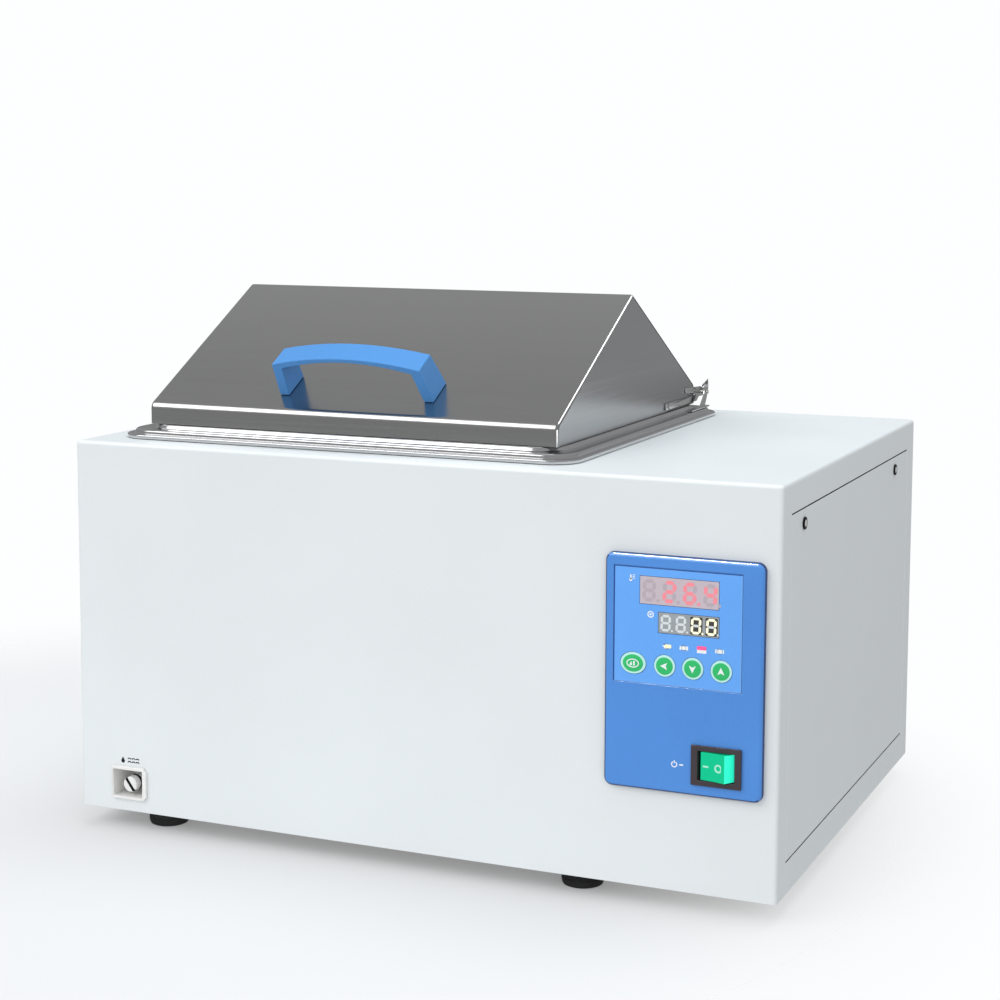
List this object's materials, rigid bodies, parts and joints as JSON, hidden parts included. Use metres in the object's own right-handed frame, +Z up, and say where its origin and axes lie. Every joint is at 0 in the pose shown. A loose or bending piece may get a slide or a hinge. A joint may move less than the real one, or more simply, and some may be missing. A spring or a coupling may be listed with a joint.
{
  "type": "water bath",
  "caption": "Benchtop thermostatic water bath: pale sheet-metal case, stainless bath under a hinged gabled lid, control panel, drain and rubber feet.",
  "frame": {"origin": "on the bench under the middle of the case", "axes": "+X to the right along the case's length, +Y to the back, +Z up; the control panel and the drain face -Y"},
  "size_m": [0.558, 0.4225, 0.4106],
  "materials": {
    "coat": "pale grey-white powder coat with fine orange peel",
    "stainless": "brushed and part-polished stainless sheet",
    "zinc": "zinc-plated steel",
    "panel_blue": "satin moulded mid blue",
    "overlay_blue": "fine satin printed film, lighter blue",
    "handle_blue": "satin moulded light blue",
    "button_green": "satin green film key with a pale ring",
    "rocker_green": "glossy translucent green moulding",
    "black_plastic": "satin black moulding",
    "white_plastic": "satin white moulding",
    "display_red": "grey-pink window over red seven-segment digits",
    "display_grey": "grey window over pale seven-segment digits",
    "rubber_black": "matt black rubber",
    "insulation": "mineral wool board",
    "hose": "translucent silicone hose",
    "brass": "turned brass fitting",
    "aluminium": "extruded heat sink",
    "board_green": "glass-fibre circuit board with parts",
    "transformer_iron": "laminated core with varnished winding"
  },
  "bodies": {
    "casing": {"case_shell": "coat", "base_plate": "zinc", "foot_front_left": "rubber_black", "foot_front_right": "rubber_black", "foot_rear_left": "rubber_black", "foot_rear_right": "rubber_black", "side_cover": "coat", "side_cover_washer_front": "black_plastic", "side_cover_screw_front": "zinc", "side_cover_washer_rear": "black_plastic", "side_cover_screw_rear": "zinc", "rear_panel": "coat", "rear_screw_lower_left": "zinc", "rear_screw_lower_right": "zinc", "rear_screw_upper_left": "zinc", "rear_screw_upper_right": "zinc", "partition_wall": "zinc", "inner_tank": "stainless", "rim_gasket": "rubber_black", "tank_insulation": "insulation", "heating_element": "stainless", "heater_gland_rear": "brass", "heater_gland_front": "brass", "temperature_probe": "stainless", "probe_gland": "brass", "drain_spigot": "stainless", "drain_hose": "hose", "drain_valve_body": "brass", "drain_bezel": "white_plastic", "hinge_bracket_left": "stainless", "hinge_pin_left": "zinc", "hinge_bracket_right": "stainless", "hinge_pin_right": "zinc", "control_bezel": "panel_blue", "keypad_overlay": "overlay_blue", "pv_display": "display_red", "sv_display": "display_grey", "indicator_light_guide": "white_plastic", "switch_housing": "black_plastic", "controller_board": "board_green", "relay_heatsink": "aluminium", "solid_state_relay": "black_plastic", "transformer": "transformer_iron", "power_inlet": "black_plastic", "fuse_holder": "black_plastic"},
    "lid": {"lid_shell": "stainless", "lid_handle": "handle_blue", "handle_screw_left": "zinc", "handle_screw_right": "zinc", "hinge_leaf_left": "stainless", "hinge_leaf_right": "stainless"},
    "shelf": {"perforated_shelf": "stainless"},
    "drain_stem": {"drain_valve_stem": "zinc"},
    "power_rocker": {"rocker": "rocker_green"},
    "set_key": {"set_button": "button_green"},
    "shift_key": {"shift_button": "button_green"},
    "down_key": {"down_button": "button_green"},
    "up_key": {"up_button": "button_green"}
  },
  "joints": [
    {"name": "lid_hinge", "type": "hinge", "parent": "casing", "child": "lid", "pos_m": [-0.0693, 0.1655, 0.319], "axis": [-1, 0, 0], "range_deg": [0, 95]},
    {"name": "shelf_lift", "type": "slide", "parent": "casing", "child": "shelf", "axis": [0, 0, 1], "range_m": [0, 0.15]},
    {"name": "drain_turn", "type": "hinge", "parent": "casing", "child": "drain_stem", "pos_m": [-0.2345, -0.18, 0.0355], "axis": [0, 1, 0], "range_deg": [0, 90]},
    {"name": "rocker_tilt", "type": "hinge", "parent": "casing", "child": "power_rocker", "pos_m": [0.236, -0.2005, 0.1071], "axis": [0, 0, 1], "range_deg": [0, 24]},
    {"name": "set_press", "type": "slide", "parent": "casing", "child": "set_key", "axis": [0, 1, 0], "range_m": [0, 0.0007], "stiffness_N_per_m": 400, "springref_m": -0.0005},
    {"name": "shift_press", "type": "slide", "parent": "casing", "child": "shift_key", "axis": [0, 1, 0], "range_m": [0, 0.0007], "stiffness_N_per_m": 400, "springref_m": -0.0005},
    {"name": "down_press", "type": "slide", "parent": "casing", "child": "down_key", "axis": [0, 1, 0], "range_m": [0, 0.0007], "stiffness_N_per_m": 400, "springref_m": -0.0005},
    {"name": "up_press", "type": "slide", "parent": "casing", "child": "up_key", "axis": [0, 1, 0], "range_m": [0, 0.0007], "stiffness_N_per_m": 400, "springref_m": -0.0005}
  ]
}
